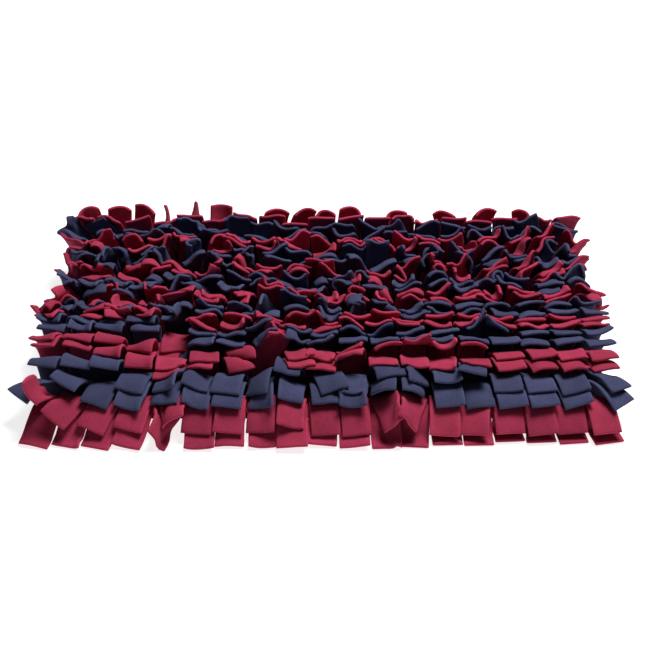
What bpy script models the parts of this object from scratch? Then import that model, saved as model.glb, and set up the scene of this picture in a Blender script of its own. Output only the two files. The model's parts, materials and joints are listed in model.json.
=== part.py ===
"""Snuffle mat: a flat base cloth with rows of slit fleece strips sewn across it.

Each strip is folded up on both sides of its seam and slit into tabs. The tabs
stand upright in the middle of the mat, lean outwards row by row towards its
front and back edges, and the outermost ones hang over to the floor.

Units are metres, +Z is up and -Y is the front. The origin is on the floor
under the middle of the base cloth.
"""

import math
import random
from collections import namedtuple

import bmesh
import bpy
from mathutils import Vector
from mathutils.bvhtree import BVHTree

# --- Driving sizes -----------------------------------------------------------

FLEECE = 0.003  # thickness of the fleece
SEAM_GAP = 0.0003  # between a strip and the base cloth that it is sewn to

TAB_COUNT = 19  # tabs along one strip
TAB_PITCH = 0.036  # from slit to slit
TAB_WIDTH = 0.034
TAB_LENGTH = 0.075  # from the end of the slit to the tip
TAB_STEPS = 4  # straight steps that a tab bends in
TAB_CLEARANCE = 0.0005  # kept free around every tab
PLACING_TRIES = 24

STRIP_LENGTH = TAB_COUNT * TAB_PITCH
STRIP_PITCH = 0.0285  # from seam to seam
FOLD_HALF = 0.005  # from the seam to the middle of each folded-up side
FOLD_HEIGHT = 0.010  # the unslit part of the strip, floor of the fold included

BASE_MARGIN_X = 0.004  # base cloth beyond the ends of the strips
BASE_MARGIN_Y = 0.012  # base cloth beyond the outermost seams
BASE_CORNER = 0.015
BASE_THICKNESS = 0.003

END_POWER = 3  # how suddenly the fanning grows towards the ends of a strip
FLOOR_FIRST_LEAN = math.radians(68)  # first step of the tabs that lie on the floor

SEED = 10

# --- The strips, front to back -----------------------------------------------
# Angles in degrees. root and tip are how far the tabs lean from upright where
# they leave the fold and at their tips; positive leans towards the front. end
# is how far the last tab fans outwards. tilt, twist and fan are the largest
# odd changes that one tab makes to all that.

Strip = namedtuple("Strip", "colour root tip end tilt twist fan")

STRIPS = [
    Strip("crimson", 25, 160, 15, 0, 3, 1),
    Strip("navy", 6, 120, 27, 5, 8, 1.5),
    Strip("crimson", 5, 76, 14, 6, 18, 4),
    Strip("navy", 3, 64, 14, 7, 26, 5),
    Strip("crimson", 1, 58, 12, 8, 34, 6),
    Strip("navy", 0, 54, 10, 9, 42, 8),
    Strip("crimson", -1, 50, 9, 10, 48, 9),
    Strip("navy", -2, 46, 9, 11, 52, 10),
    Strip("crimson", -3, 42, 9, 12, 54, 10),
    Strip("navy", -4, 36, 9, 12, 54, 10),
    Strip("crimson", -5, 28, 9, 11, 50, 9),
    Strip("navy", -6, 14, 9, 9, 44, 8),
    Strip("crimson", -8, -20, 10, 7, 9, 2),
]

# sRGB colour, roughness
FINISHES = {
    "crimson": ((0.62, 0.17, 0.29), 0.95),
    "navy": ((0.23, 0.25, 0.37), 0.95),
    "base": ((0.12, 0.13, 0.18), 0.9),
}

# --- Sizes worked out from these ---------------------------------------------

SEAM_SPAN = (len(STRIPS) - 1) * STRIP_PITCH
FOLD_FLOOR_Z = BASE_THICKNESS + SEAM_GAP
ROOT_Z = FOLD_FLOOR_Z + FOLD_HEIGHT
STEP = TAB_LENGTH / TAB_STEPS


def material(name):
    """A plain cloth material of one of the named finishes."""
    colour, roughness = FINISHES[name]
    made = bpy.data.materials.new(name + "_cloth")
    made.use_nodes = True
    surface = made.node_tree.nodes["Principled BSDF"]
    linear = [channel**2.2 for channel in colour]
    surface.inputs["Base Color"].default_value = (*linear, 1)
    surface.inputs["Roughness"].default_value = roughness
    surface.inputs["Metallic"].default_value = 0
    made.diffuse_color = (*linear, 1)
    return made


def new_object(name, bm, cloth):
    """Turns a bmesh into a linked object with one material."""
    bmesh.ops.recalc_face_normals(bm, faces=bm.faces[:])
    mesh = bpy.data.meshes.new(name)
    bm.to_mesh(mesh)
    bm.free()
    mesh.materials.append(cloth)
    made = bpy.data.objects.new(name, mesh)
    bpy.context.scene.collection.objects.link(made)
    return made


# --- Tabs ---------------------------------------------------------------------


def leans_between(root, tip):
    """The lean of each step of a tab that bends evenly from root to tip."""
    return [root + (tip - root) * (step + 0.5) / TAB_STEPS for step in range(TAB_STEPS)]


def leans_onto_floor():
    """The lean of each step of a tab that falls outwards and ends flat on the floor."""
    drop = ROOT_Z - FLEECE / 2
    falling = TAB_STEPS - 2
    rise = STEP * math.cos(FLOOR_FIRST_LEAN)
    fall = math.pi / 2 + math.asin((drop + rise) / (falling * STEP))
    return [FLOOR_FIRST_LEAN, *[fall] * falling, math.pi / 2]


def tab_rings(root, leans, fan, twist):
    """The four-cornered sections of a tab from its root up: (centre, across, through).

    The centre line leans by each step's angle in the Y-Z plane and fans
    sideways by one angle; across and through are the half width and half
    thickness, which turn about the centre line by a growing share of twist.
    """
    side = Vector((1, 0, 0))
    centre = Vector(root)
    rings = [(centre, side * TAB_WIDTH / 2, Vector((0, FLEECE / 2, 0)))]
    for step, lean in enumerate(leans):
        forward = Vector((0, -math.sin(lean), math.cos(lean)))
        centre = centre + STEP * (math.cos(fan) * forward + math.sin(fan) * side)
        following = leans[min(step + 1, TAB_STEPS - 1)]
        turned = (lean + following) / 2
        forward = Vector((0, -math.sin(turned), math.cos(turned)))
        across = math.cos(fan) * side - math.sin(fan) * forward
        through = Vector((0, math.cos(turned), math.sin(turned)))
        spin = twist * (step + 1) / TAB_STEPS
        rings.append(
            (
                centre,
                (math.cos(spin) * across + math.sin(spin) * through) * TAB_WIDTH / 2,
                (math.cos(spin) * through - math.sin(spin) * across) * FLEECE / 2,
            )
        )
    return rings


def grow_tab(bm, root_face, rings):
    """Extrudes a face of the fold into a tab, one section at a time."""
    middle = root_face.calc_center_median()
    corners = [
        (
            math.copysign(1, vert.co.x - middle.x),
            math.copysign(1, vert.co.y - middle.y),
        )
        for vert in root_face.verts
    ]
    face = root_face
    for centre, across, through in rings[1:]:
        face = bmesh.ops.extrude_discrete_faces(bm, faces=[face])["faces"][0]
        for vert, (along_x, along_y) in zip(face.verts, corners):
            vert.co = centre + along_x * across + along_y * through


# --- Strips -------------------------------------------------------------------


def tab_x(column):
    """The X of the middle of a tab, counted from the left."""
    return (column + 0.5) * TAB_PITCH - STRIP_LENGTH / 2


def seam_y(row):
    """The Y of a strip's seam, counted from the front."""
    return row * STRIP_PITCH - SEAM_SPAN / 2


def tab_rings_at(row, column, side, chance, calm):
    """The sections of one tab; side is -1 on the front half of its strip.

    On the outer half of the outermost strips it lies out onto the floor.
    calm scales down its odd changes.
    """
    strip = STRIPS[row]
    tilt, twist, fan = (
        calm * math.radians(limit) * chance.uniform(-1, 1)
        for limit in (strip.tilt, strip.twist, strip.fan)
    )
    place = tab_x(column) / (STRIP_LENGTH / 2)
    growth = math.copysign(abs(place) ** END_POWER, place)
    root = (tab_x(column), seam_y(row) + side * FOLD_HALF, ROOT_Z)
    if on_floor(row, side):
        leans = [-side * lean for lean in leans_onto_floor()]
        return tab_rings(root, leans, 0, 0)
    leans = leans_between(
        math.radians(strip.root) + tilt / 2, math.radians(strip.tip) + tilt
    )
    return tab_rings(root, leans, math.radians(strip.end) * growth + fan, twist)


def on_floor(row, side):
    """Whether a half of a strip is the outer half of an outermost one."""
    return (row, side) in ((0, -1), (len(STRIPS) - 1, 1))


def carries_tab(row, column, side):
    """Whether a cell of a fold carries a tab.

    Along a strip the tabs stand on its front and back halves in turn; the
    outermost strips carry both.
    """
    outermost = row in (0, len(STRIPS) - 1)
    return outermost or (column % 2 == 0) == (side == -1)


def clearance_tree(rings):
    """A search tree of a tab's surface, grown by its clearance."""
    grown = []
    for centre, across, through in rings:
        across = across * (1 + 2 * TAB_CLEARANCE / TAB_WIDTH)
        through = through * (1 + 2 * TAB_CLEARANCE / FLEECE)
        for along_x, along_y in ((-1, -1), (1, -1), (1, 1), (-1, 1)):
            grown.append(centre + along_x * across + along_y * through)
    faces = [(0, 1, 2, 3), tuple(range(len(grown) - 4, len(grown)))]
    for first in range(0, len(grown) - 4, 4):
        for corner in range(4):
            after = (corner + 1) % 4
            faces.append(
                (first + corner, first + after, first + after + 4, first + corner + 4)
            )
    return BVHTree.FromPolygons(grown, faces)


def place_tabs():
    """The sections of every tab by (row, column, side).

    A tab that would touch one already placed is drawn again, calmer each time.
    """
    placed, trees = {}, {}
    for row in range(len(STRIPS)):
        chance = random.Random(SEED + row)
        for column in range(TAB_COUNT):
            for side in (-1, 1):
                if not carries_tab(row, column, side):
                    continue
                near = [
                    tree
                    for (r, c, _), tree in trees.items()
                    if row - r <= 2 and abs(column - c) <= 2
                ]
                for attempt in range(PLACING_TRIES):
                    calm = 1 - attempt / PLACING_TRIES
                    rings = tab_rings_at(row, column, side, chance, calm)
                    tree = clearance_tree(rings)
                    if not any(tree.overlap(other) for other in near):
                        break
                placed[row, column, side] = rings
                trees[row, column, side] = tree
    return placed


def sweep_fold(bm, row):
    """The unslit middle of a strip: a U-shaped fold, swept along the seam cell by cell.

    Returns the top faces of its two sides by (column, side).
    """
    outer = FOLD_HALF + FLEECE / 2
    inner = FOLD_HALF - FLEECE / 2
    low, floor, top = FOLD_FLOOR_Z, FOLD_FLOOR_Z + FLEECE, ROOT_Z
    outline = [
        (-outer, top),
        (-inner, top),
        (-inner, floor),
        (inner, floor),
        (inner, top),
        (outer, top),
        (outer, low),
        (-outer, low),
    ]
    tops = {0: -1, 4: 1}
    sections = [
        [
            bm.verts.new((cell * TAB_PITCH - STRIP_LENGTH / 2, seam_y(row) + y, z))
            for y, z in outline
        ]
        for cell in range(TAB_COUNT + 1)
    ]
    bm.faces.new(sections[0])
    bm.faces.new(sections[-1])
    found = {}
    for column, (here, there) in enumerate(zip(sections, sections[1:])):
        for corner in range(len(outline)):
            after = (corner + 1) % len(outline)
            face = bm.faces.new(
                (here[corner], here[after], there[after], there[corner])
            )
            if corner in tops:
                found[column, tops[corner]] = face
    return found


def fleece_strip(row, tabs, cloth):
    """One fleece strip: its fold along the seam and the tabs that stand on it."""
    bm = bmesh.new()
    roots = sweep_fold(bm, row)
    bmesh.ops.recalc_face_normals(bm, faces=bm.faces[:])
    for (tab_row, column, side), rings in tabs.items():
        if tab_row == row:
            grow_tab(bm, roots[column, side], rings)
    return new_object(f"fleece_strip_{row + 1:02d}", bm, cloth)


# --- Base cloth ---------------------------------------------------------------


def base_cloth(cloth):
    """The flat cloth that all the strips are sewn to, with rounded corners."""
    half_x = STRIP_LENGTH / 2 + BASE_MARGIN_X
    half_y = SEAM_SPAN / 2 + BASE_MARGIN_Y
    bm = bmesh.new()
    bmesh.ops.create_cube(bm, size=1)
    bmesh.ops.scale(
        bm, vec=(2 * half_x, 2 * half_y, BASE_THICKNESS), verts=bm.verts[:]
    )
    bmesh.ops.translate(bm, vec=(0, 0, BASE_THICKNESS / 2), verts=bm.verts[:])
    upright = [
        edge
        for edge in bm.edges
        if abs(edge.verts[0].co.z - edge.verts[1].co.z) > BASE_THICKNESS / 2
    ]
    bmesh.ops.bevel(
        bm, geom=upright, offset=BASE_CORNER, segments=6, profile=0.5, affect="EDGES"
    )
    return new_object("base_cloth", bm, cloth)


def main():
    for old in list(bpy.data.objects):
        bpy.data.objects.remove(old, do_unlink=True)
    cloths = {name: material(name) for name in FINISHES}
    base_cloth(cloths["base"])
    tabs = place_tabs()
    for row, strip in enumerate(STRIPS):
        fleece_strip(row, tabs, cloths[strip.colour])


main()
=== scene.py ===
# %% [markdown]
# # A snuffle mat, and how its pile is laid
#
# A snuffle mat is a flat cloth with rows of fleece strips sewn across it. Each
# strip is folded up along its seam and slit into tabs, so that treats can be
# hidden in the pile. The mat here has thirteen strips, crimson and navy in
# turn, and every strip carries two layers of nineteen tabs.
#
# The lesson has four parts: where the strips are, how one tab bends, how all
# the tabs settle against each other, and how fleece looks up close.

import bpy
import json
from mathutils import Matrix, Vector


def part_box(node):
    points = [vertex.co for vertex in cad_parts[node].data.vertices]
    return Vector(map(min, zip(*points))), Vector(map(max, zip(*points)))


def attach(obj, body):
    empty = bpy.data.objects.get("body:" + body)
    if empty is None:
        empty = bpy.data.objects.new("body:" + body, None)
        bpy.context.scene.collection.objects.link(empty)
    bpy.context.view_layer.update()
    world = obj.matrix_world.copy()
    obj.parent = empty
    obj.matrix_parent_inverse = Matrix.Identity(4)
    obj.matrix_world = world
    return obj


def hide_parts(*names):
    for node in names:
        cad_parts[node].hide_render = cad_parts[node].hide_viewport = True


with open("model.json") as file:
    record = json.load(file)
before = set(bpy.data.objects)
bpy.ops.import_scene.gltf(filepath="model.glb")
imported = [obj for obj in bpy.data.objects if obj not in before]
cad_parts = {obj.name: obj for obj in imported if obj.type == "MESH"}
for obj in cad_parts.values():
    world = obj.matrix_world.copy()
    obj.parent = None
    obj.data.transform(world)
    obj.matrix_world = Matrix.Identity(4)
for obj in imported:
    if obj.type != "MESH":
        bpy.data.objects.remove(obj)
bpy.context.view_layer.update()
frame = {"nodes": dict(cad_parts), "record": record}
strip_nodes = sorted(name for name in frame["nodes"] if name.startswith("fleece_strip"))
print(len(strip_nodes), "strips in the frame")

# %% The modules that the lesson uses
import json
import math
import time

import bpy
import numpy as np
from mathutils import Vector

print("numpy", np.__version__)

# %% [markdown]
# ## The cut and the seams
#
# A maker cuts each strip from 3 mm fleece, 0.684 m long and 0.18 m wide, sews
# it down along its middle and slits it from both long edges. What is left
# unslit stands up as a low fold. The nap of brushed fleece fluffs up, so the
# cloth is shown thicker than it was cut. Everything else is worked out from
# these few sizes, so they come first.

# %% Sizes, in metres
FLEECE = 0.0042  # the cut cloth and its nap
BASE_CLOTH = 0.003
SEAM_GAP = 0.0003
STRIPS = len(strip_nodes)
TABS = 19
TAB_PITCH = 0.036
TAB_WIDTH = 0.0356
TAB_LENGTH = 0.075
STRIP_LENGTH = TABS * TAB_PITCH
STRIP_PITCH = 0.0285
FOLD_HALF = 0.005
FOLD_HEIGHT = 0.010
FOLD_FLOOR_Z = BASE_CLOTH + SEAM_GAP
ROOT_Z = FOLD_FLOOR_Z + FOLD_HEIGHT

seam_y = (np.arange(STRIPS) - (STRIPS - 1) / 2) * STRIP_PITCH
tab_x = (np.arange(TABS) + 0.5) * TAB_PITCH - STRIP_LENGTH / 2
print("seams from", seam_y[0].round(3), "to", seam_y[-1].round(3))

# %% [markdown]
# ## How the pile lies
#
# Fleece remembers how it was packed. The front tabs fall over the edge of the
# mat onto the floor, the next rows lean after them, and the middle and rear
# tabs stand up and curl every way. One table holds this: for each strip, how
# far its front and rear layer lean from upright at four places from root to
# tip, how far the end tabs fan out, and how unruly the strip is.

# %% How each strip lies, front to back, in degrees
LAYS = [
    # front layer           rear layer             end  unruly
    ((20, 100, 128, 94), (10, 78, 120, 124), 12, 0.12),
    ((0, 50, 92, 118), (0, 34, 88, 114), 30, 0.25),
    ((2, 16, 64, 98), (-2, 10, 56, 94), 16, 0.40),
    ((2, 10, 40, 88), (-2, 4, 34, 82), 18, 0.45),
    ((4, 14, 32, 84), (0, 10, 28, 80), 14, 0.80),
    ((4, 14, 30, 86), (0, 10, 26, 82), 12, 1.00),
    ((4, 13, 28, 84), (0, 9, 24, 80), 10, 1.00),
    ((4, 12, 26, 82), (0, 8, 22, 78), 10, 1.00),
    ((4, 11, 23, 80), (0, 7, 19, 76), 10, 1.00),
    ((4, 10, 20, 78), (0, 5, 15, 74), 10, 1.00),
    ((4, 8, 16, 76), (0, 3, 11, 72), 10, 1.00),
    ((4, 6, 14, 70), (-2, 0, 8, 64), 10, 1.00),
    ((2, 2, 6, 54), (-50, -100, -120, -95), 12, 0.20),
]
COLUMNS_OF_LAY = ("front", "rear", "end", "unruly")
lays = [dict(zip(COLUMNS_OF_LAY, lay)) for lay in LAYS]

# every tab of the mat, in the order strip, layer (front, rear), column
strip_of, layer_of, column_of = (
    axis.ravel() for axis in np.indices((STRIPS, 2, TABS))
)
tab_count = strip_of.size
leans = np.radians([lay[key] for lay in lays for key in ("front", "rear")])
leans = np.repeat(leans, TABS, axis=0)
print(tab_count, "tabs")

# %% [markdown]
# ## Each tab's own habit
#
# No two tabs lie alike. Each has a turn about its length, a cup across its
# width, a curl at its tip, a fan to one side, a tilt and a slight ripple.
# Neighbours still have much in common, because a crowded row bends in waves.
# So each layer of a strip gets a wave, whose push tilts the tabs, whose slope
# turns them and whose bend cups them, and a sway to one side. Draws for single
# tabs come on top, from a fixed seed, so the mat comes out the same every time.
# All of it is scaled by how unruly the tab's place is: neat in the front strips,
# in the last one and to the right, wild between them and to the left. Many tabs
# are listed one by one as well, and those values take the place of the drawn ones.

# %% The tabs that are listed one by one, in degrees
# The keys are (strip, layer), where layer 0 is the front one, and each habit
# lists column: degrees. A positive tilt or curl leans a tab further forward,
# and a positive fan sends it to the right. On a tab that leans forward, a
# positive turn drops the right edge, and a positive cup drops both edges.
HAND_SET = {
    (0, 1): {
        "turn": {0: 66, 1: 26, 2: 4, 3: -6, 4: -40, 7: -28, 8: 34, 11: -42, 12: 42, 14: -14},
        "fan": {0: -20, 1: -31, 2: -22, 3: -14, 4: 4, 5: -5, 6: -4, 8: -3, 9: 4, 10: 4,
                11: 14, 12: -13, 13: -3, 14: -5, 17: 4, 18: 8},
        "tilt": {0: -76, 1: -18, 2: -6, 4: -26, 8: -10, 11: -20, 12: -20},
        "cup": {0: -60, 4: 50, 11: 0, 12: 0},
        "curl": {0: 50},
    },
    (0, 0): {
        "turn": {4: 62},
        "fan": {0: -15, 1: -13, 2: -15, 3: -15, 4: -14, 11: 3, 12: -4},
        "tilt": {0: 3, 1: 4, 2: 4, 3: 4, 4: -8, 11: 12, 12: 12, 13: 22, 14: 20, 15: 34,
                 16: 34, 17: 34, 18: 30},
        "cup": {4: 40},
    },
    (1, 1): {
        "turn": {0: -4, 1: 20, 2: 8, 3: 4, 4: -38, 5: 30, 7: -40, 8: 26, 9: -8, 12: 45,
                 14: 14, 17: -4, 18: 22},
        "fan": {0: -10, 1: -6, 2: -8, 3: -14, 4: -6, 5: -9, 6: -8, 7: -8, 8: -8, 9: 16,
                11: 10, 12: 5, 14: -6, 15: 3, 16: 8, 17: 12, 18: 32},
        "tilt": {0: -66, 1: -64, 2: -62, 3: -4, 4: -6, 5: -8, 8: -50, 10: 6, 11: -36,
                 12: -24, 13: -22, 14: -38, 18: -2},
        "cup": {10: 10, 11: 0, 13: -70},
        "curl": {0: 85, 1: 85, 2: 85, 8: 70, 11: 45, 12: 30, 13: 20, 14: 25},
    },
    (1, 0): {
        "turn": {0: -10, 1: 26, 4: -14, 5: 14, 7: -40, 8: 32, 11: -30, 12: 36, 17: -10, 18: 22},
        "fan": {0: -44, 1: -20, 2: -18, 3: -15, 4: -7, 5: -8, 6: -6, 9: 5, 14: 6, 15: 8,
                16: 9, 17: 14, 18: 34},
        "tilt": {0: -8, 1: -36, 2: -2, 3: 6, 8: -12, 11: -30, 12: -28, 18: 6},
        "curl": {1: 16, 8: 20, 11: 25, 12: 25},
        "cup": {11: 60, 12: 60, 13: -30, 14: 40},
    },
    (2, 1): {
        "turn": {0: -6, 1: 0, 2: 14, 7: 6, 10: -36, 11: -16, 12: -12},
        "fan": {0: -18, 1: -10, 2: -8, 3: -6, 6: 14, 7: 23, 8: 12, 9: -3, 11: 6,
                12: 6, 15: 10, 16: 14, 17: 14, 18: 14},
        "tilt": {0: -58, 1: -56, 2: -58, 3: -36, 4: 24, 5: 8, 6: -20, 7: -76, 8: 4, 9: 4,
                 10: -12, 11: -22, 12: -28, 13: -14, 14: -25},
        "curl": {0: 90, 1: 90, 2: 115, 3: 95, 6: 90, 7: -12},
        "cup": {0: 0, 1: 0, 4: 0, 6: 20, 7: 0, 10: -30, 12: -60, 13: -130, 14: 90},
    },
    (2, 0): {
        "fan": {0: -14, 1: -10, 2: -8, 6: 14, 7: 23, 8: 12, 9: -3, 15: 10, 16: 14, 17: 15,
                18: 16},
        "tilt": {0: -66, 1: -66, 2: -46, 3: -16, 4: 20, 6: -10, 7: -66, 10: -22},
        "curl": {0: 90, 1: 90, 2: 95, 3: 60, 6: 60, 7: -16},
        "cup": {15: -20, 16: 50, 17: 60, 18: 30},
        "turn": {7: 6, 17: 10},
    },
    (3, 1): {
        "turn": {0: 0, 1: -4, 2: 6, 3: 0, 8: 6, 10: 16, 11: -34, 12: -14, 13: -10, 14: -42,
                 15: 40},
        "fan": {4: 7, 8: 8, 14: 8, 15: -4},
        "tilt": {0: -58, 1: -56, 2: -62, 3: -54, 4: 70, 7: -10, 11: -10, 14: -22, 15: -16},
        "curl": {0: 105, 1: 110, 2: 120, 3: 105, 4: 60},
        "cup": {2: 50, 4: 0, 8: 0, 11: 0},
    },
    (3, 0): {
        "turn": {0: 0, 1: 6, 2: 0, 3: -4},
        "tilt": {0: -56, 1: -58, 2: -56, 3: -50, 4: 64},
        "curl": {0: 100, 1: 105, 2: 100, 3: 100, 4: 70},
        "cup": {4: 0},
    },
    (4, 1): {
        "turn": {4: 8},
        "fan": {4: -3},
        "tilt": {0: -36, 1: -36, 2: -38, 3: -32, 4: 66},
        "curl": {0: 60, 1: 65, 2: 70, 3: 60, 4: -15},
        "cup": {4: -50},
    },
    (4, 0): {
        "turn": {4: 0},
        "tilt": {0: -36, 1: -36, 2: -38, 3: -32, 4: 60},
        "curl": {0: 60, 1: 60, 2: 70, 3: 60, 4: -15},
        "cup": {4: 0},
    },
    (5, 1): {
        "turn": {1: 0, 2: 4, 5: 30, 6: 28},
        "tilt": {1: -6, 2: -14},
        "curl": {1: 30, 2: 40},
        "cup": {2: 80},
    },
    (6, 1): {
        "turn": {1: -14, 2: 14, 3: 30, 4: -32, 5: 28, 6: 30},
        "fan": {1: 4, 2: 0, 3: 6},
        "tilt": {1: -46, 2: -50, 3: -40},
        "curl": {1: 75, 2: 80, 3: 70},
        "cup": {1: 30, 2: 50, 3: 40, 4: 0, 5: 0, 6: 0},
    },
    (6, 0): {
        "tilt": {1: 16, 2: 20, 3: 16},
    },
    (7, 1): {
        "fan": {0: -2},
        "tilt": {1: 12, 2: 14},
    },
    (7, 0): {
        "fan": {0: -2},
        "tilt": {1: 12, 2: 14},
    },
    (8, 1): {
        "turn": {2: -4, 3: 12, 13: 60, 15: -34, 16: -48, 17: -40},
        "fan": {13: 0, 15: 10, 16: 18, 17: 14},
        "tilt": {2: -22, 3: -4, 10: 30, 11: 30, 13: 0},
        "curl": {2: 70, 3: 30},
        "cup": {0: -150, 2: 60, 3: 50, 15: -50, 16: -70, 17: -50},
    },
    (8, 0): {
        "turn": {1: -12, 2: 32, 15: -30, 16: -44, 17: -36},
        "fan": {2: 6, 15: 9, 16: 15, 17: 12},
        "tilt": {1: 12, 2: 14, 10: 25, 11: 25},
        "curl": {1: 10, 2: 10},
        "cup": {1: 30, 2: 30},
    },
    (9, 1): {
        "turn": {10: 0, 11: 6},
        "tilt": {10: -28, 11: -26},
        "cup": {10: 0, 11: 20},
    },
    (9, 0): {
        "fan": {0: 8},
        "cup": {0: 160},
    },
    (10, 1): {
        "turn": {15: -34, 16: -46, 17: -42},
        "fan": {15: 10, 16: 18, 17: 14},
        "tilt": {15: -8, 16: -15},
        "cup": {15: -50, 16: -70, 17: -60},
    },
    (10, 0): {
        "turn": {16: -44, 17: -38},
        "fan": {16: 15, 17: 12},
    },
    (11, 1): {
        "turn": {1: 0, 6: 0},
        "tilt": {1: -24, 6: -22},
        "cup": {1: 0, 6: 80},
        "curl": {1: -20, 6: -30},
    },
    (12, 0): {
        "turn": {3: 0, 4: 0, 7: 0, 8: 0, 9: 0, 11: 0, 12: 0, 13: 0, 14: 0, 15: 0, 16: 0},
        "fan": {2: -2, 3: 3, 4: -3, 6: 1, 7: 3, 8: -3, 9: -3, 11: 3, 12: 3, 13: -5, 14: 0,
                15: -5, 16: -5},
        "tilt": {3: 8, 4: -6, 7: -6, 8: 9, 9: -2, 12: -8, 13: 8, 14: -6, 15: 8},
    },
    (12, 1): {
        "turn": {0: -20, 1: 0, 2: 25, 3: 78, 4: -78, 5: 4, 7: 0, 8: -12, 9: -8, 10: 12,
                 12: -14, 14: 10, 15: -14, 17: 30},
        "fan": {0: -8, 1: 4, 2: 6, 3: 0, 4: 0, 5: 2, 7: 10, 8: 12, 9: 2, 10: 4, 12: -9,
                14: -13, 15: 12, 17: -8},
        "tilt": {0: 102, 1: 100, 2: 94, 3: 128, 4: 124, 5: 88, 7: 116, 8: 110, 9: 102,
                 10: 94, 12: 104, 14: 110, 15: 108, 17: 96},
        "curl": {0: 30, 1: 20, 2: 30, 3: 40, 4: 40, 5: 0, 7: 30, 8: 40, 9: 50, 10: 60,
                 12: 40, 14: 30, 15: 40, 17: 50},
        "cup": {0: 120, 1: 90, 2: 90, 3: 0, 4: 0, 5: 110, 7: 80, 8: 100, 9: 130,
                10: 110, 12: 110, 14: 90, 15: 100, 17: 140},
    },
}
laid_tabs = {
    (*key, column)
    for key, laid in HAND_SET.items()
    for degrees in laid.values()
    for column in degrees
}
print(len(laid_tabs), "tabs laid by hand")

# %% How unruly each tab is
NEAT_FROM, NEAT_OVER = 0.1, 0.5  # the neat part across, in half widths of the mat
NEAT_DEPTH, NEAT_FADE = 0.6, 0.25  # and from front to back, in depths of the mat
SHARE_ALL, SHARE_LEFT, SHARE_NEAT = 0.9, 0.25, -0.6  # all, to the left, where neat
WILD_SHARE = 0.10  # the share of tabs that are wilder than their neighbours
WILD_FACTOR = 2.0
LAST_TAME_STRIP = 3  # none of those are in this strip or in front of it

rng = np.random.default_rng(11)
place = tab_x[column_of] / (STRIP_LENGTH / 2)
depth = strip_of / (STRIPS - 1)
neat_across = np.clip((place - NEAT_FROM) / NEAT_OVER, 0, 1)
neat_right = neat_across * np.clip((NEAT_DEPTH - depth) / NEAT_FADE, 0, 1)
leftness = np.clip(-place - NEAT_FROM, 0, 1)
unruly = np.array([lays[s]["unruly"] for s in strip_of])
unruly = unruly * (SHARE_ALL + SHARE_LEFT * leftness + SHARE_NEAT * neat_right)
wild = (rng.uniform(size=tab_count) < WILD_SHARE) & (strip_of > LAST_TAME_STRIP)
unruly = np.where(wild, WILD_FACTOR * unruly, unruly)
print(wild.sum(), "wild tabs")

# %% Draw the habits
WAVES = 3  # sines in the wave of a layer
WAVE_REACH = 0.0062  # metres that one sine pushes a tab at most
WAVE_LENGTHS = (0.062, 0.12)
WAVE_TILT = 1.3
SWAY = 5  # degrees
LONGEST_DRAW = 2.2  # in standard deviations
# how widely each habit is drawn, in degrees, and the share of it in calm tabs
SPREAD = {
    "turn": (11, 0.08),
    "cup": (65, 0.2),
    "fan": (8, 0.15),
    "tilt": (3, 0.3),
    "curl": (18, 0.1),
}
RIPPLE = 0.09  # in widths of the tab
WIDTH_SPREAD, LENGTH_SPREAD = 0.02, 0.035


def row_waves():
    """How far a layer's wave pushes each tab forward, its slope there and its bend.

    The wave is a sum of sines along the seam. Slope and bend are its first
    and second derivatives, worked out from the same sines.
    """
    shape = (STRIPS * 2, WAVES, 1)
    rate = 2 * math.pi / rng.uniform(*WAVE_LENGTHS, shape)
    angle = rate * tab_x + rng.uniform(0, 2 * math.pi, shape)
    parts = np.sin(angle), rate * np.cos(angle), -(rate**2) * np.sin(angle)
    return [WAVE_REACH * part.sum(axis=1).ravel() * unruly for part in parts]


def drawn(spread, calm_share=0.0):
    """One number for each tab: normally spread draws, scaled by its unruliness."""
    scale = calm_share + (1 - calm_share) * unruly
    return spread * scale * np.clip(rng.normal(size=tab_count), -LONGEST_DRAW, LONGEST_DRAW)


wave, wave_slope, wave_bend = row_waves()
end_fan = np.array([lays[s]["end"] for s in strip_of]) * place**3
sway = np.repeat(rng.normal(0, SWAY, STRIPS * 2), TABS) * np.clip(unruly, 0, 1)
habit = {
    "turn": np.arctan(wave_slope) + np.radians(drawn(*SPREAD["turn"])),
    "cup": wave_bend * TAB_WIDTH + np.radians(drawn(*SPREAD["cup"])),
    "fan": np.radians(end_fan + sway + drawn(*SPREAD["fan"])),
    "tilt": wave / TAB_LENGTH * WAVE_TILT + np.radians(drawn(*SPREAD["tilt"])),
    "curl": np.radians(drawn(*SPREAD["curl"])),
    "width": TAB_WIDTH * (1 + WIDTH_SPREAD * np.clip(rng.normal(size=tab_count), -2, 2)),
    "length": TAB_LENGTH * (1 + LENGTH_SPREAD * np.clip(rng.normal(size=tab_count), -2, 1)),
    "ripple": drawn(RIPPLE),
}
for (strip, layer), laid_by_hand in HAND_SET.items():
    first = (strip * 2 + layer) * TABS
    for name, degrees in laid_by_hand.items():
        for column, value in degrees.items():
            habit[name][first + column] = math.radians(value)
print("turns spread over", np.degrees(habit["turn"].std()).round(1), "degrees")

# %% [markdown]
# ## One tab as a sheet of two parameters
#
# A tab is a ribbon: a point runs along it from root to tip, and another across
# it from left to right. Its centre line is followed by adding up short steps
# in the direction in which the tab leans at each place. Across it, the cloth
# is an arc of a circle, flat where the cup is nothing. Eleven points along and
# seven across are enough for such a shape, and few enough for the solver.

# %% The points of a tab, and where its root is
ALONG, ACROSS = 11, 7
along = np.linspace(0, 1, ALONG)
across = np.linspace(-1, 1, ACROSS)
root_points = np.stack(
    [
        tab_x[column_of],
        seam_y[strip_of] + np.where(layer_of == 0, -FOLD_HALF, FOLD_HALF),
        np.full(tab_count, ROOT_Z),
    ],
    axis=1,
)
print("tabs start", ROOT_Z, "m above the floor")

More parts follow.
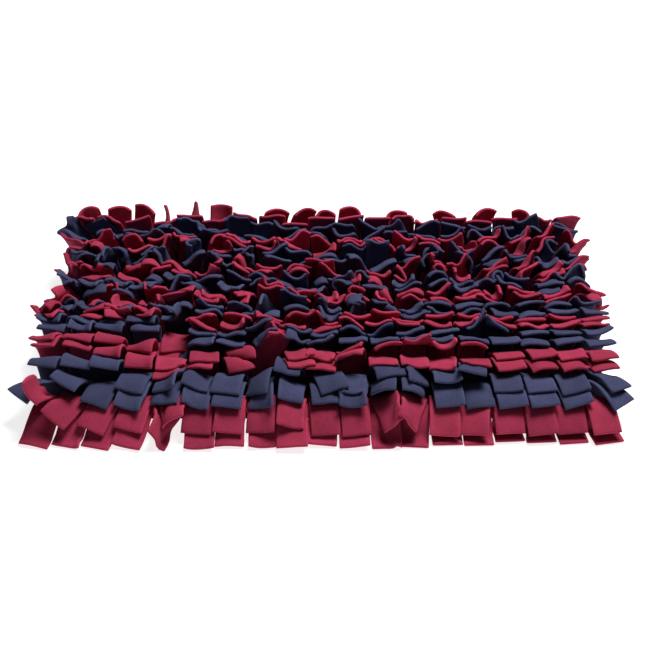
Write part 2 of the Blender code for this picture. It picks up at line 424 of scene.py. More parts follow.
# %% The angles of a tab
# how fast each habit comes in from the root: it is full at 1 / rate of the length
RISE_RATE, TURN_RATE, CUP_RATE = 1.6, 1.5, 1.3


def smooth_step(t):
    """Rises from 0 to 1 with level ends: 3t^2 - 2t^3."""
    t = np.clip(t, 0, 1)
    return t * t * (3 - 2 * t)


def tab_angles(grown):
    """Lean, fan, turn and cup of every tab at every place s along it, in radians.

    The lean is read between the four leans of the tab's layer, plus its tilt
    times a smooth rise, plus its curl times s to the fourth. Fan, turn and cup
    rise smoothly too. All four are multiplied by grown, which is 0 to 1.
    """
    given = np.linspace(0, 1, leans.shape[1])
    left = np.clip(np.searchsorted(given, along, side="right") - 1, 0, leans.shape[1] - 2)
    part = (along - given[left]) * (leans.shape[1] - 1)
    lean = leans[:, left] * (1 - part) + leans[:, left + 1] * part
    rise = smooth_step(along * RISE_RATE)
    lean = lean + habit["tilt"][:, None] * rise + habit["curl"][:, None] * along**4
    fan = grown * habit["fan"][:, None] * rise
    turn = grown * habit["turn"][:, None] * smooth_step(along * TURN_RATE)
    cup = grown * habit["cup"][:, None] * smooth_step(along * CUP_RATE)
    return grown * lean, fan, turn, cup


print("most a tip leans", np.degrees(tab_angles(1.0)[0][:, -1].max()).round(), "degrees")

# %% The shape that a tab would take if nothing touched it
FLATTEST = 1e-4  # a cup smaller than this is taken as this, to divide by it
STRAIGHT = 1e-6


def tab_directions(lean, fan, turn):
    """Unit directions along, across and off every tab at every place along it.

    Along it is (sin fan, -sin lean cos fan, cos lean cos fan), across it is
    (cos fan, sin lean sin fan, -cos lean sin fan), and off it is their cross
    product. The last two are then turned about the first by turn.
    """
    sin, cos = np.sin, np.cos
    ahead = np.stack([sin(fan), -sin(lean) * cos(fan), cos(lean) * cos(fan)], -1)
    side = np.stack([cos(fan), sin(lean) * sin(fan), -cos(lean) * sin(fan)], -1)
    facing = np.cross(side, ahead)
    side, facing = (
        side * cos(turn)[..., None] + facing * sin(turn)[..., None],
        facing * cos(turn)[..., None] - side * sin(turn)[..., None],
    )
    return ahead, side, facing


def cross_section(cup, grown):
    """How far each point lies to the side of the centre line, and how far off it.

    The section is an arc, (w / cup) (sin a, 1 - cos a), where w is half the
    width and a runs from -cup / 2 to cup / 2. A ripple is added to it: one
    sine across the width, growing with the square of the place along the tab.
    """
    half = habit["width"][:, None, None] / 2
    angle = cup[..., None] / 2 * across
    bend = np.where(np.abs(cup[..., None]) < FLATTEST, FLATTEST, cup[..., None]) / 2
    out = half * np.sin(np.where(np.abs(angle) < STRAIGHT, bend * across, angle)) / bend
    deep = half * (1 - np.cos(angle)) / bend
    ripple = grown * habit["ripple"][:, None, None] * along[:, None] ** 2
    return out, deep + 2 * half * ripple * np.sin(math.pi * across)


def tab_shapes(grown):
    """Points of every tab, shaped (tab, along, across, xyz); grown is 0 when upright.

    The centre line is the sum of short steps, each the mean of the directions
    at its two ends times the step's length. Each point is then set out to the
    side and off it by the cross section.
    """
    lean, fan, turn, cup = tab_angles(grown)
    ahead, side, facing = tab_directions(lean, fan, turn)
    step = habit["length"][:, None, None] / (ALONG - 1)
    middle = np.zeros((tab_count, ALONG, 3))
    middle[:, 1:] = np.cumsum((ahead[:, 1:] + ahead[:, :-1]) / 2 * step, axis=1)
    middle += root_points[:, None]
    out, deep = cross_section(cup, grown)
    return (
        middle[:, :, None]
        + out[..., None] * side[:, :, None]
        + deep[..., None] * facing[:, :, None]
    )


goal = tab_shapes(1.0)
print("tallest goal", goal[..., 2].max().round(4), "m")

# %% [markdown]
# ## Which points of the pile are near each other
#
# Tabs rest on other tabs, so the solver has to know which points nearly touch.
# Comparing every point with every other would take far too long. Instead,
# space is cut into small cells, the points are sorted by cell, and each point
# looks only into its own cell and those around it.

# %% Find near pairs
REACH = 0.0085  # about twice the thickness of the cloth
owner = np.repeat(np.arange(tab_count), ALONG * ACROSS)


def near_pairs(points):
    """Index pairs (i, j) of points on different tabs that are within REACH.

    Cells are numbered so that three cells above each other are three numbers
    in a row: one look-up in the sorted numbers then covers all three.
    """
    cell = np.floor((points - points.min(axis=0)) / REACH).astype(np.int64) + 1
    rows, stack = cell[:, 1].max() + 2, cell[:, 2].max() + 2
    number = (cell[:, 0] * rows + cell[:, 1]) * stack + cell[:, 2]
    order = np.argsort(number, kind="stable")
    number = number[order]
    found = []
    for step_x in (-1, 0, 1):
        for step_y in (-1, 0, 1):
            wanted = number + (step_x * rows + step_y) * stack
            low = np.searchsorted(number, wanted - 1, side="left")
            count = np.searchsorted(number, wanted + 1, side="right") - low
            first = np.repeat(np.arange(number.size), count)
            start = np.repeat(np.cumsum(count) - count - low, count)
            second = np.arange(first.size) - start
            found.append(np.stack([order[first], order[second]]))
    i, j = np.concatenate(found, axis=1)
    apart = owner[i] != owner[j]
    i, j = i[apart], j[apart]
    gap = points[i] - points[j]
    near = np.einsum("ij,ij->i", gap, gap) < REACH**2
    return i[near], j[near]


print(len(near_pairs(goal.reshape(-1, 3))[0]), "near pairs before the pile settles")

# %% [markdown]
# ## Letting the pile settle
#
# Blender's own cloth could do this for a few tabs, but with 494 of them that
# all touch it would be slow. The same idea fits in a page or two: move every
# point a little towards the shape its tab wants, then put right whatever that
# broke. Links between neighbouring points go back to their length, points that
# come closer to another tab than the fleece is thick are pushed apart, and
# nothing sinks below what it rests on. Many small rounds give a pile whose
# tabs lie on, lean on and push aside each other.

# %% Links keep the cloth's size
HOLD = 1e-9  # keeps a division from being by nothing
# each kind of link: its steps along and across the tab, and how stiff it is
LINKS = [
    ((1, 0), 1.0),
    ((0, 1), 1.0),
    ((1, 1), 0.5),
    ((1, -1), 0.5),
    ((2, 0), 0.25),
    ((0, 2), 0.25),
]


def link_ends(points, span):
    """The points at the near and at the far end of one kind of link."""
    down, over = span
    if over >= 0:
        return points[:, : ALONG - down, : ACROSS - over], points[:, down:, over:]
    return points[:, : ALONG - down, -over:], points[:, down:, : ACROSS + over]


def pull_links(points, span, rest, stiff):
    """Moves both ends of every link along it by half of what it is too long or short.

    All links of one kind are worked out before any point moves, and a point
    that ends two of them makes both moves. Roots move too and are put back
    later.
    """
    near, far = link_ends(points, span)
    gap = far - near
    size = np.sqrt(np.einsum("tijk,tijk->tij", gap, gap)) + HOLD
    push = (0.5 * stiff * (1 - rest / size))[..., None] * gap
    near += push
    far -= push


def link_rests(shape, span):
    """The lengths of one kind of link in a given shape."""
    near, far = link_ends(shape, span)
    return np.linalg.norm(far - near, axis=-1)


print(len(LINKS), "kinds of link")

# %% The patch of cloth round each point
PATCH_OVERLAP = 1.1
PATCH_RIM = 0.0004  # how far the outermost patches reach past the points


def patch_frames(points):
    """At every point: the unit directions across and along the cloth, and its normal."""
    over = np.gradient(points, axis=2)
    down = np.gradient(points, axis=1)
    facing = np.cross(over, down)
    facing /= np.linalg.norm(facing, axis=-1, keepdims=True) + HOLD
    over /= np.linalg.norm(over, axis=-1, keepdims=True) + HOLD
    down = np.cross(facing, over)
    return over, down, facing


def patch_reach(index, edge, half):
    """How far every point's patch reaches one way: half a step, or the rim at the edge."""
    return np.tile(np.where(index == edge, PATCH_RIM, half).ravel(), tab_count)


half_across = TAB_WIDTH / (ACROSS - 1) / 2 * PATCH_OVERLAP
half_along = TAB_LENGTH / (ALONG - 1) / 2 * PATCH_OVERLAP
grid_along, grid_across = np.indices((ALONG, ACROSS))
patch_left = patch_reach(grid_across, 0, half_across)
patch_right = patch_reach(grid_across, ACROSS - 1, half_across)
patch_down = patch_reach(grid_along, 0, half_along)
patch_up = patch_reach(grid_along, ALONG - 1, half_along)
print("a patch reaches", round(half_across, 4), "m across and", round(half_along, 4), "m along")

# %% Tabs push each other apart
AIR = 0.0004  # between two tabs that touch
THICK = FLEECE + AIR
OVERSHOOT = 1.3  # pushes a little too far, so that fewer rounds are needed


def push_apart(points, pairs):
    """Keeps the points of one tab a fleece's thickness off the patches of another.

    The gap from point j to point i is split into parts across, along and off
    j's patch of cloth. Where i lies over the patch and too close, both should
    move away from each other along the patch's normal, half of what is wanting
    each. A point then makes the mean of the moves asked of it, times OVERSHOOT.
    """
    over, down, facing = (a.reshape(-1, 3) for a in patch_frames(points))
    flat = points.reshape(-1, 3)
    i, j = pairs
    gap = flat[i] - flat[j]
    off = np.einsum("ij,ij->i", gap, facing[j])
    side = np.einsum("ij,ij->i", gap, over[j])
    ahead = np.einsum("ij,ij->i", gap, down[j])
    close = (
        (np.abs(off) < THICK)
        & (side > -patch_left[j])
        & (side < patch_right[j])
        & (ahead > -patch_down[j])
        & (ahead < patch_up[j])
    )
    i, j, off = i[close], j[close], off[close]
    want = (THICK - np.abs(off)) * np.where(off < 0, -1.0, 1.0)
    shift = 0.5 * want[:, None] * facing[j]
    size = len(flat)
    both = np.concatenate([i, j])
    shift = np.concatenate([shift, -shift])
    count = np.bincount(both, minlength=size)
    total = np.stack(
        [np.bincount(both, weights=shift[:, k], minlength=size) for k in range(3)], 1
    )
    flat += OVERSHOOT * total / np.maximum(count, 1)[:, None]
    return close.sum()


print("tabs are kept", round(THICK * 1000, 1), "mm apart, middle to middle")

# %% Tabs rest on the floor, the base cloth and the folds
FLOOR_GAP = 0.0003
BASE_MARGIN = 0.013  # from the last seams to the edge of the base cloth


def rest_on_things(points):
    """Keeps every point above the floor, the base cloth and the folds of other strips."""
    x, y, z = points[..., 0], points[..., 1], points[..., 2]
    lowest = np.full(z.shape, FLEECE / 2 + FLOOR_GAP)
    on_base = (np.abs(x) < STRIP_LENGTH / 2) & (np.abs(y) < seam_y[-1] + BASE_MARGIN)
    lowest[on_base] = FOLD_FLOOR_Z + FLEECE / 2
    nearest = np.abs(y[..., None] - seam_y).argmin(axis=-1)
    other = nearest != strip_of[:, None, None]
    over_fold = other & on_base & (np.abs(y - seam_y[nearest]) < FOLD_HALF + FLEECE)
    lowest[over_fold] = ROOT_Z + FLEECE / 2
    points[..., 2] = np.maximum(z, lowest)


print("the cloth's middle stays", round((FLEECE / 2 + FLOOR_GAP) * 1000, 1), "mm off the floor")

# %% Let it settle
ROUNDS = 240
GROWING = 0.7  # share of the rounds in which the habits grow in
LOOK_EVERY = 4  # rounds between two searches for near pairs
PASSES = 2  # how often a round puts right what its move broke
MOMENTUM = 0.6
PULL = 0.07  # share of the way to the wanted shape
WEIGHT = 0.00006  # metres that its weight moves a point in a round
LONGEST_MOVE = 0.0011  # metres in a round, before the links pull


def settle():
    """The pile at rest: every tab as near its own shape as its neighbours let it be."""
    points = tab_shapes(0.0)
    roots = points[:, 0].copy()
    rests = {span: link_rests(goal, span) for span, _ in LINKS}
    last_move = np.zeros_like(points)
    for step in range(ROUNDS):
        if step % LOOK_EVERY == 0:
            wanted = tab_shapes(smooth_step(step / (GROWING * ROUNDS)))
            pairs = near_pairs(points.reshape(-1, 3))
        before = points.copy()
        move = MOMENTUM * last_move + PULL * (wanted - points)
        move[..., 2] -= WEIGHT
        size = np.linalg.norm(move, axis=-1, keepdims=True) + HOLD
        points += move * np.minimum(1, LONGEST_MOVE / size)
        for _ in range(PASSES):
            for span, stiff in LINKS:
                pull_links(points, span, rests[span], stiff)
            points[:, 0] = roots
            touching = push_apart(points, pairs)
            rest_on_things(points)
        points[:, 0] = roots
        last_move = points - before
    print(touching, "pairs touch; last move", np.abs(last_move).max().round(5), "m")
    return points


started = time.time()
pile = settle()
print("settled in", round(time.time() - started, 1), "s")

# %% [markdown]
# ## From points to fleece
#
# The settled points are the middle of the cloth. To give it thickness, each
# point is moved out along its normal to both sides. The thickness follows a
# quarter circle near the edges, so the cut rim is rounded, and front and back
# meet there without a seam. The points are first read more finely with a
# smooth curve through them.

# %% A finer grid through the settled points
def curve_weights(count, wanted):
    """Weights that read a Catmull-Rom curve through count points at wanted places.

    Between two points, the curve is the cubic that passes both, with slopes
    of half the difference of their neighbours; beyond the ends the curve goes
    straight on.
    """
    weights = np.zeros((len(wanted), count + 2))
    left = np.clip(np.floor(wanted).astype(int), 0, count - 2)
    t = wanted - left
    inside = (t >= 0) & (t <= 1)
    cubic = np.stack(
        [
            (-t + 2 * t**2 - t**3) / 2,
            (2 - 5 * t**2 + 3 * t**3) / 2,
            (t + 4 * t**2 - 3 * t**3) / 2,
            (-(t**2) + t**3) / 2,
        ],
        axis=1,
    )
    straight = np.stack([0 * t, 1 - t, t, 0 * t], axis=1)
    rows = np.arange(len(wanted))[:, None]
    weights[rows, left[:, None] + np.arange(4)] = np.where(
        inside[:, None], cubic, straight
    )
    # the two points beyond the ends continue the last steps
    weights[:, 1] += 2 * weights[:, 0]
    weights[:, 2] -= weights[:, 0]
    weights[:, -2] += 2 * weights[:, -1]
    weights[:, -3] -= weights[:, -1]
    return weights[:, 1:-1]


EDGE = FLEECE / 2  # how far in from a cut edge the cloth is rounded
edge_steps = np.array([0, 0.3, 1.0]) * EDGE
CELLS_ACROSS, CELLS_ALONG = 7, 12  # between the rounded edges
inner_across = np.linspace(EDGE, TAB_WIDTH - EDGE, CELLS_ACROSS + 1)[1:-1]
across_at = np.concatenate([edge_steps, inner_across, (TAB_WIDTH - edge_steps)[::-1]])
inner_along = np.linspace(0, TAB_LENGTH - EDGE, CELLS_ALONG + 1)[:-1]
along_at = np.concatenate([inner_along, (TAB_LENGTH - edge_steps)[::-1]])

across_weights = curve_weights(ACROSS, across_at / TAB_WIDTH * (ACROSS - 1))
along_weights = curve_weights(ALONG, along_at / TAB_LENGTH * (ALONG - 1))
fine = np.einsum("av,tvuc,bu->tabc", along_weights, pile, across_weights)
print("a tab has", fine.shape[1:3], "points after", pile.shape[1:3])

# %% Turn a surface into a shell with a rounded edge
def rounded(distance):
    """Share of the full thickness at a distance from an edge: a quarter circle."""
    t = np.clip(1 - distance / EDGE, 0, 1)
    return np.sqrt(1 - t * t)


def facing_of(middle, down_at, over_at):
    """Unit normals of a grid of points, from the differences along both of its ways."""
    facing = np.cross(
        np.gradient(middle, over_at, axis=-2), np.gradient(middle, down_at, axis=-3)
    )
    return facing / (np.linalg.norm(facing, axis=-1, keepdims=True) + HOLD)


def shell_faces(rows, columns):
    """Faces of one closed shell over its front points, then its back points.

    The front grid keeps its order and the back grid is turned round, so that
    both face out. On the border the back takes the front's points, because
    the thickness has gone to nothing there.
    """
    front = np.arange(rows * columns).reshape(rows, columns)
    back = front + rows * columns
    back[[0, -1], :] = front[[0, -1], :]
    back[:, [0, -1]] = front[:, [0, -1]]

    def quads(index):
        return np.stack(
            [index[:-1, :-1], index[:-1, 1:], index[1:, 1:], index[1:, :-1]], -1
        ).reshape(-1, 4)

    return np.concatenate([quads(front), quads(back)[:, ::-1]])


def thicken(middle, facing, half):
    """Points and faces of cloth shells, from middle surfaces (shell, row, column, xyz).

    The front is the middle moved along its normal by half, and the back is the
    middle moved against it.
    """
    shells, rows, columns = middle.shape[:3]
    sides = np.stack(
        [middle + half[..., None] * facing, middle - half[..., None] * facing], axis=1
    )
    one = shell_faces(rows, columns)
    starts = np.arange(shells) * 2 * rows * columns
    faces = (one + starts[:, None, None]).reshape(-1, 4)
    used, faces = np.unique(faces, return_inverse=True)
    return sides.reshape(-1, 3)[used], faces.reshape(-1, 4), used


print("a shell of 3 by 3 points has", len(shell_faces(3, 3)), "faces")

# %% How thick each tab is at each place
HIDDEN_ROOT = 0.004  # how far a tab runs on down into its fold

fine_facing = facing_of(fine, along_at, across_at)
side_gap = np.minimum(across_at, TAB_WIDTH - across_at)
tip_gap = TAB_LENGTH - along_at
fine_half = FLEECE / 2 * rounded(side_gap)[None] * rounded(tip_gap)[:, None]

# a first row continues each tab down into its fold, where it thins to nothing
root_row = fine[:, :1] - [0, 0, HIDDEN_ROOT]
fine = np.concatenate([root_row, fine], axis=1)
fine_facing = np.concatenate([fine_facing[:, :1], fine_facing], axis=1)
fine_half = np.concatenate([0 * fine_half[:1], fine_half])
fine_half = np.broadcast_to(fine_half, fine.shape[:3])
print("thickest", round(2 * fine_half.max(), 4), "m")

# %% [markdown]
# ## The folds
#
# Along its seam a strip is a U: down the front side, under the seam and up the
# rear side. It is the same kind of surface as a tab, with one parameter along
# the seam and the other round the U, so the same function gives it thickness.
# The stitches press the cloth thinner along the seam.

# %% The fold of one strip
BEND = 0.0025  # radius of the fold's lower corners
SEAM_HALF = 0.0012  # half the width of the groove along the seam
SEAM_DIP = 0.0005
x_cells = np.arange(1, TABS * 2) * TAB_PITCH / 2
fold_x = np.concatenate([edge_steps, x_cells, (STRIP_LENGTH - edge_steps)[::-1]])


def fold_middle(row):
    """The middle surface of a fold: (x along the seam, distance round the U)."""
    bottom = FOLD_FLOOR_Z + FLEECE / 2
    upright = ROOT_Z - bottom - BEND
    quarter = math.pi / 2 * BEND
    total = 2 * (upright + quarter) + 2 * (FOLD_HALF - BEND)
    corner = upright + quarter * np.linspace(0, 1, 5)
    first = np.concatenate([edge_steps, corner, [total / 2 - SEAM_HALF]])
    round_at = np.concatenate([first, [total / 2], total - first[::-1]])

    def half_u(distance):
        """y and z of the front half: straight down, round the corner, then level."""
        angle = np.clip((distance - upright) / BEND, 0, math.pi / 2)
        level = np.maximum(distance - upright - quarter, 0)
        y = -FOLD_HALF + BEND * (1 - np.cos(angle)) + level
        z = ROOT_Z - np.minimum(distance, upright) - BEND * np.sin(angle)
        return y, z

    y, z = half_u(np.minimum(round_at, total - round_at))
    y = np.where(round_at > total / 2, -y, y)
    middle = np.zeros((fold_x.size, round_at.size, 3))
    middle[..., 0] = (fold_x - STRIP_LENGTH / 2)[:, None]
    middle[..., 1] = y + seam_y[row]
    middle[..., 2] = z
    gap_x = np.minimum(fold_x, STRIP_LENGTH - fold_x)
    gap_u = np.minimum(round_at, total - round_at)
    half = FLEECE / 2 * rounded(gap_x)[:, None] * rounded(gap_u)
    half[:, round_at == total / 2] -= SEAM_DIP
    return middle, facing_of(middle, fold_x, round_at), np.maximum(half, 0)


print("a fold has", fold_middle(0)[0].shape[:2], "points")

# %% [markdown]
# ## The colours of fleece
#
# Fleece is knitted polyester, brushed until it is covered with short soft
# hair. The hair makes it look matt and a little lighter where it is seen edge
# on, which sheen gives. Its surface is never quite even, so its colour varies
# with noise at two scales: the nap's, of about a millimetre, and that of
# brushed patches, of about two centimetres. The nap gives the bump as well.

# %% Helpers for shader nodes
def linear(red, green, blue):
    """A colour as it is seen, made linear for the shader: each channel to the 2.2."""
    return (red**2.2, green**2.2, blue**2.2, 1)


def node(tree, kind, at, **values):
    """Adds a shader node at a place in the editor and sets its properties and inputs."""
    made = tree.nodes.new(kind)
    made.location = at
    for name, value in values.items():
        if name in made.inputs:
            made.inputs[name].default_value = value
        else:
            setattr(made, name, value)
    return made


def mixed(tree, at, blend, share, a, b):
    """A colour mix node; share, a and b are sockets or plain values."""
    made = node(tree, "ShaderNodeMix", at, data_type="RGBA", blend_type=blend)
    for index, value in ((0, share), (6, a), (7, b)):
        if isinstance(value, bpy.types.NodeSocket):
            tree.links.new(value, made.inputs[index])
        else:
            made.inputs[index].default_value = value
    return made.outputs[2]


def ramp(tree, at, source, low, high, dark, light):
    """Turns a value from low to high into a grey from dark to light."""
    made = node(tree, "ShaderNodeMapRange", at)
    made.inputs["From Min"].default_value = low
    made.inputs["From Max"].default_value = high
    made.inputs["To Min"].default_value = dark
    made.inputs["To Max"].default_value = light
    tree.links.new(source, made.inputs["Value"])
    return made.outputs["Result"]


print("a middle grey of 0.5 becomes", round(linear(0.5, 0.5, 0.5)[0], 3))

# %% The fleece
NAP_SCALE, PATCH_SCALE = 900, 45  # noise features in a metre
NAP_HEIGHT = 0.0006


def fleece(name, colour, sheen):
    """Brushed fleece: a colour times four greys, with a little sheen and bump.

    The greys come from the nap, from brushed patches, from each tab's own tone
    and from how near its cut edges are, which is a painted highlight: the edges
    are made lighter, as if they caught the light from above.
    """
    made = bpy.data.materials.new(name)
    made.use_nodes = True
    tree = made.node_tree
    surface = tree.nodes["Principled BSDF"]
    surface.inputs["Roughness"].default_value = 0.95
    surface.inputs["Specular IOR Level"].default_value = 0.1
    surface.inputs["Sheen Weight"].default_value = sheen
    surface.inputs["Sheen Roughness"].default_value = 0.45
    surface.inputs["Sheen Tint"].default_value = linear(*(0.5 + 0.5 * c for c in colour))

    place = node(tree, "ShaderNodeTexCoord", (-1500, 0)).outputs["Object"]

    def noise(at, scale):
        made = node(tree, "ShaderNodeTexNoise", at, Scale=scale, Detail=3, Roughness=0.6)
        tree.links.new(place, made.inputs["Vector"])
        return made.outputs["Fac"]

    def stored(at, name):
        return node(tree, "ShaderNodeAttribute", at, attribute_name=name).outputs["Fac"]

    nap = noise((-1250, 0), NAP_SCALE)
    # each grey: its source, the range read from it, and the greys at both ends
    greys = [
        (nap, 0.3, 0.7, 0.72, 1.18),
        (noise((-1250, -250), PATCH_SCALE), 0.3, 0.7, 0.88, 1.1),
        (stored((-1250, 250), "tone"), 0, 1, 0.86, 1.12),
        # the last grey is a painted highlight: up to 1.3 times lighter at the cut edges
        (stored((-1250, 500), "rim"), 0, 1, 1.0, 1.3),
    ]
    base = linear(*colour)
    for step, values in enumerate(greys):
        grey = ramp(tree, (-1000, 250 * step), *values)
        base = mixed(tree, (-750 + 200 * step, 0), "MULTIPLY", 1, base, grey)
    tree.links.new(base, surface.inputs["Base Color"])

    bump = node(tree, "ShaderNodeBump", (-350, -400), Strength=0.5, Distance=NAP_HEIGHT)
    tree.links.new(nap, bump.inputs["Height"])
    tree.links.new(bump.outputs["Normal"], surface.inputs["Normal"])
    return made


CRIMSON, NAVY = (0.61, 0.205, 0.30), (0.255, 0.265, 0.37)
SHEEN = 0.03
finishes = {
    "crimson_fleece": fleece("crimson_fleece", CRIMSON, SHEEN),
    "navy_fleece": fleece("navy_fleece", NAVY, SHEEN),
}
slot_of = {part["node"]: part["material_slot"] for part in frame["record"]["subparts"]}
print("finishes", sorted(finishes))

# %% [markdown]
# ## Sew up the strips
#
# Each strip becomes one mesh: its fold and its thirty-eight tabs. It replaces
# the plain solid of the strip with its number. Two numbers are stored with each
# point for the colour: the tone of its tab, and how near it is to a cut edge.

# %% A piece and its stored numbers
def new_piece(name, points, faces, cloth):
    """A smooth-shaded mesh object at the origin, riding on the mat."""
    mesh = bpy.data.meshes.new(name)
    mesh.from_pydata(points, [], faces)
    mesh.shade_smooth()
    mesh.materials.append(cloth)
    piece = bpy.data.objects.new(name, mesh)
    bpy.context.scene.collection.objects.link(piece)
    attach(piece, "root")
    return piece


def set_number(piece, name, values):
    """Stores one number for each point, which the fleece's colour reads."""
    numbers = piece.data.attributes.new(name, "FLOAT", "POINT")
    numbers.data.foreach_set("value", values.astype(np.float32))


RIM_HIGHLIGHT = 0.003  # how far in from its cut edges a tab gets the painted highlight
MIDDLE_TONE = 0.5
tab_tone = rng.uniform(size=tab_count)
# a painted highlight near the cut edges: 1 at an edge, falling to 0 further in
tab_rim_highlight = 1 - np.clip(np.minimum(side_gap[None], tip_gap[:, None]) / RIM_HIGHLIGHT, 0, 1)
tab_rim_highlight = np.concatenate([0 * tab_rim_highlight[:1], tab_rim_highlight])
points_of_tab = 2 * tab_rim_highlight.size
print("tones from", tab_tone.min().round(2), "to", tab_tone.max().round(2))

# %% Build the strips
for row, strip_node in enumerate(strip_nodes):
    mine = strip_of == row
    tab_points, tab_faces, used = thicken(
        fine[mine], fine_facing[mine], fine_half[mine]
    )
    middle, facing, half = fold_middle(row)
    fold_points, fold_faces, _ = thicken(middle[None], facing[None], half[None])
    piece = new_piece(
        strip_node.replace("fleece_strip", "slit_strip"),
        np.concatenate([tab_points, fold_points]),
        np.concatenate([tab_faces, fold_faces + len(tab_points)]),
        finishes[slot_of[strip_node]],
    )
    tones = tab_tone[mine][used // points_of_tab]
    fold_tones = np.full(len(fold_points), MIDDLE_TONE)
    set_number(piece, "tone", np.concatenate([tones, fold_tones]))
    # the painted highlight near the cut edges, which the folds do not get
    rim_highlights = np.tile(tab_rim_highlight.ravel(), 2 * mine.sum())[used]
    set_number(piece, "rim", np.concatenate([rim_highlights, np.zeros(len(fold_points))]))
    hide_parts(strip_node)

# %% [markdown]
# ## The base cloth
#
# Under it all lies one flat cloth with rounded corners, which only shows from
# the sides and from below. It is again a grid with thickness. In each corner
# the square cells are squeezed into a quarter disc by a formula that keeps
# them even: x sqrt(1 - y^2 / 2) and y sqrt(1 - x^2 / 2).

# %% The grid of the base cloth
base_low, base_high = (np.array(corner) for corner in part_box("base_cloth"))
BASE_THICK = base_high[2] - base_low[2]
BASE_CORNER = 0.015
CELLS_LONG, CELLS_DEEP = 59, 31  # between the corners


def places(low, high, cells):
    """Places along one side: close together at both rims and in the corners."""
    corner = np.linspace(EDGE, BASE_CORNER, 6)[1:]
    start = np.concatenate([edge_steps, corner])
    middle = np.linspace(low + BASE_CORNER, high - BASE_CORNER, cells + 1)[1:-1]
    return np.concatenate([low + start, middle, (high - start)[::-1]])


def rounded_corners(x, y):
    """Squeezes the square corners of a grid into quarter discs."""
    centre_x = np.clip(x, base_low[0] + BASE_CORNER, base_high[0] - BASE_CORNER)
    centre_y = np.clip(y, base_low[1] + BASE_CORNER, base_high[1] - BASE_CORNER)
    a, b = (x - centre_x) / BASE_CORNER, (y - centre_y) / BASE_CORNER
    return (
        centre_x + BASE_CORNER * a * np.sqrt(1 - b * b / 2),
        centre_y + BASE_CORNER * b * np.sqrt(1 - a * a / 2),
    )


x_at = places(base_low[0], base_high[0], CELLS_LONG)
y_at = places(base_low[1], base_high[1], CELLS_DEEP)
round_x, round_y = rounded_corners(*np.meshgrid(x_at, y_at))
print("base cloth of", x_at.size, "by", y_at.size, "points")

# %% The base cloth
base_middle = np.stack([round_x, round_y, np.full_like(round_x, BASE_THICK / 2)], -1)
base_gap_x = np.minimum(x_at - x_at[0], x_at[-1] - x_at)
base_gap_y = np.minimum(y_at - y_at[0], y_at[-1] - y_at)
base_half = BASE_THICK / 2 * rounded(base_gap_y)[:, None] * rounded(base_gap_x)
base_facing = np.broadcast_to([0.0, 0.0, 1.0], base_middle.shape)
base_points, base_faces, _ = thicken(
    base_middle[None], base_facing[None], base_half[None]
)

under_cloth = fleece("under_cloth", (0.12, 0.13, 0.18), 0.1)
base = new_piece("flat_base", base_points, base_faces, under_cloth)
set_number(base, "tone", np.full(len(base_points), MIDDLE_TONE))
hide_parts("base_cloth")
print("base cloth", (base_high - base_low).round(3), "m")

# %% [markdown]

# %% [markdown]
# ## Floor, light and camera
#
# The mat lies on a plain pale floor under broad soft lamps, so that the tips
# are lit from above and the gaps between the tabs fall into deep shade. The
# camera looks at the long front edge from above, and its distance and lens
# give the rear edge its smaller look.

# %% The floor
def floor_material():
    """Matt grey, with a glow that brings it up to nearly white."""
    made = bpy.data.materials.new("pale_floor")
    made.use_nodes = True
    surface = made.node_tree.nodes["Principled BSDF"]
    surface.inputs["Base Color"].default_value = (0.5, 0.5, 0.5, 1)
    surface.inputs["Roughness"].default_value = 0.9
    surface.inputs["Specular IOR Level"].default_value = 0.1
    surface.inputs["Emission Color"].default_value = (1, 1, 1, 1)
    surface.inputs["Emission Strength"].default_value = 0.8
    return made


FLOOR_HALF = 30
FLOOR_Z = -0.0004
corners = ((-1, -1), (1, -1), (1, 1), (-1, 1))
floor_points = [(x * FLOOR_HALF, y * FLOOR_HALF, FLOOR_Z) for x, y in corners]
floor_mesh = bpy.data.meshes.new("floor")
floor_mesh.from_pydata(floor_points, [], [(0, 1, 2, 3)])
floor_mesh.materials.append(floor_material())
floor = bpy.data.objects.new("floor", floor_mesh)
bpy.context.scene.collection.objects.link(floor)
print("floor", 2 * FLOOR_HALF, "m wide")

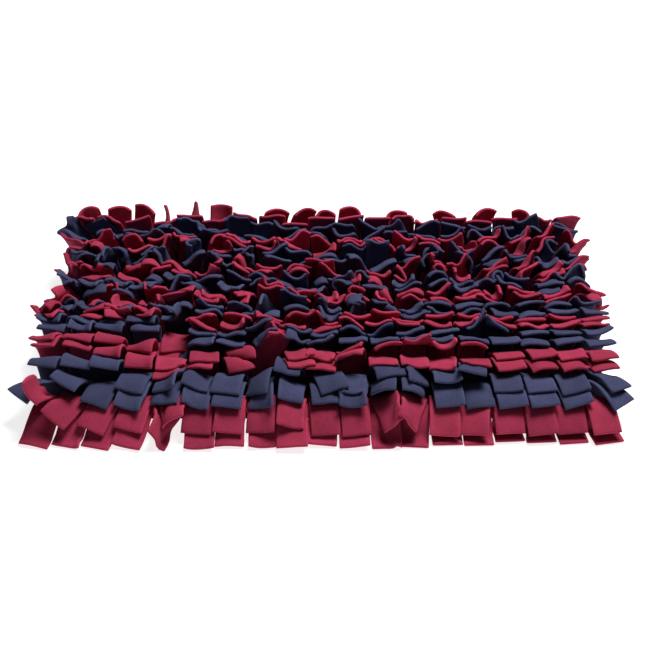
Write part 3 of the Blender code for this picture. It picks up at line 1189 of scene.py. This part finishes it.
# %% The lamps
def soft_lamp(name, at, towards, size, power):
    """A square area lamp that looks at a point."""
    lamp = bpy.data.lights.new(name, "AREA")
    lamp.shape = "SQUARE"
    lamp.size = size
    lamp.energy = power
    made = bpy.data.objects.new(name, lamp)
    made.location = at
    made.rotation_mode = "QUATERNION"
    aim = Vector(towards) - Vector(at)
    made.rotation_quaternion = aim.to_track_quat("-Z", "Y")
    bpy.context.scene.collection.objects.link(made)
    return made


soft_lamp("top_lamp", at=(0.6, 0.55, 2.2), towards=(0, 0, 0), size=1.0, power=77)
soft_lamp("front_lamp", at=(1.0, -1.8, 1.6), towards=(0.1, 0, 0.03), size=1.2, power=2.2)
print("lamps", sorted(lamp.name for lamp in bpy.data.lights))

# %% The light of the room
ROOM_LIGHT = 0.04

world = bpy.data.worlds.new("pale_room")
world.use_nodes = True
background = world.node_tree.nodes["Background"]
background.inputs["Color"].default_value = (1, 1, 1, 1)
background.inputs["Strength"].default_value = ROOM_LIGHT
bpy.context.scene.world = world
bpy.context.scene.view_settings.view_transform = "Standard"
print("room light", ROOM_LIGHT)

# %% The camera
ELEVATION = math.radians(34)
DISTANCE = 1.753
FOCAL_PIXELS = 1354
SENSOR_WIDTH = 36
IMAGE_SIZE = 650
TARGET = Vector((0, 0, 0.03))
TARGET_PIXEL = (323, 312.7)  # where the target falls in the render

camera_data = bpy.data.cameras.new("camera")
camera_data.sensor_width = SENSOR_WIDTH
camera_data.lens = FOCAL_PIXELS * camera_data.sensor_width / IMAGE_SIZE
camera_data.shift_x = (IMAGE_SIZE / 2 - TARGET_PIXEL[0]) / IMAGE_SIZE
camera_data.shift_y = (TARGET_PIXEL[1] - IMAGE_SIZE / 2) / IMAGE_SIZE
camera = bpy.data.objects.new("camera", camera_data)
back_to_camera = Vector((0, -math.cos(ELEVATION), math.sin(ELEVATION)))
camera.location = TARGET + DISTANCE * back_to_camera
camera.rotation_mode = "QUATERNION"
camera.rotation_quaternion = (-back_to_camera).to_track_quat("-Z", "Y")
bpy.context.scene.collection.objects.link(camera)
bpy.context.scene.camera = camera
print("lens", round(camera_data.lens, 1), "mm")

# %% Finish
bpy.context.view_layer.update()
